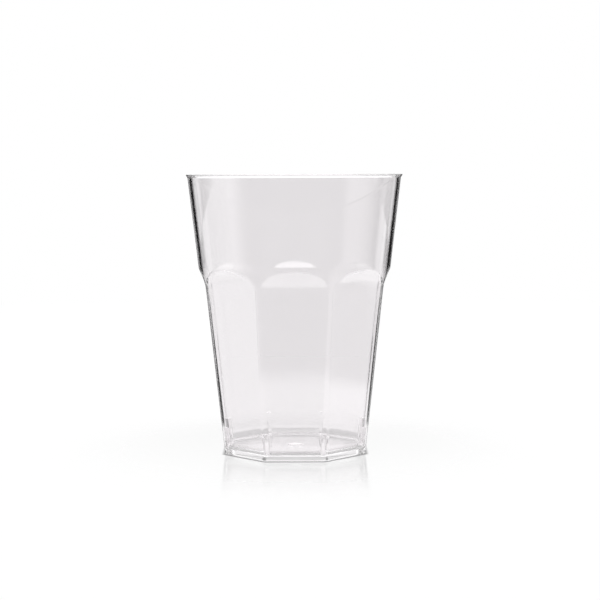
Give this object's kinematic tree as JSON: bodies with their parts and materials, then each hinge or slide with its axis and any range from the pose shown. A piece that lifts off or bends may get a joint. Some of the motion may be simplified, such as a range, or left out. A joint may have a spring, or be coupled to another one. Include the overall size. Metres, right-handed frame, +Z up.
{
  "type": "tumbler cup",
  "caption": "Clear plastic drinking tumbler: round cone above flat sides with arched heads, small flared lip, closed floor and short upright ribs inside the corners.",
  "frame": {"origin": "centre of the base, on the plane the tumbler stands on", "axes": "+Z up through the mouth; a flat side faces each of +X, -X, +Y and -Y"},
  "size_m": [0.0832, 0.0832, 0.107],
  "materials": {
    "clear_plastic": "gloss"
  },
  "bodies": {
    "root": {"tumbler": "clear_plastic"}
  },
  "joints": []
}
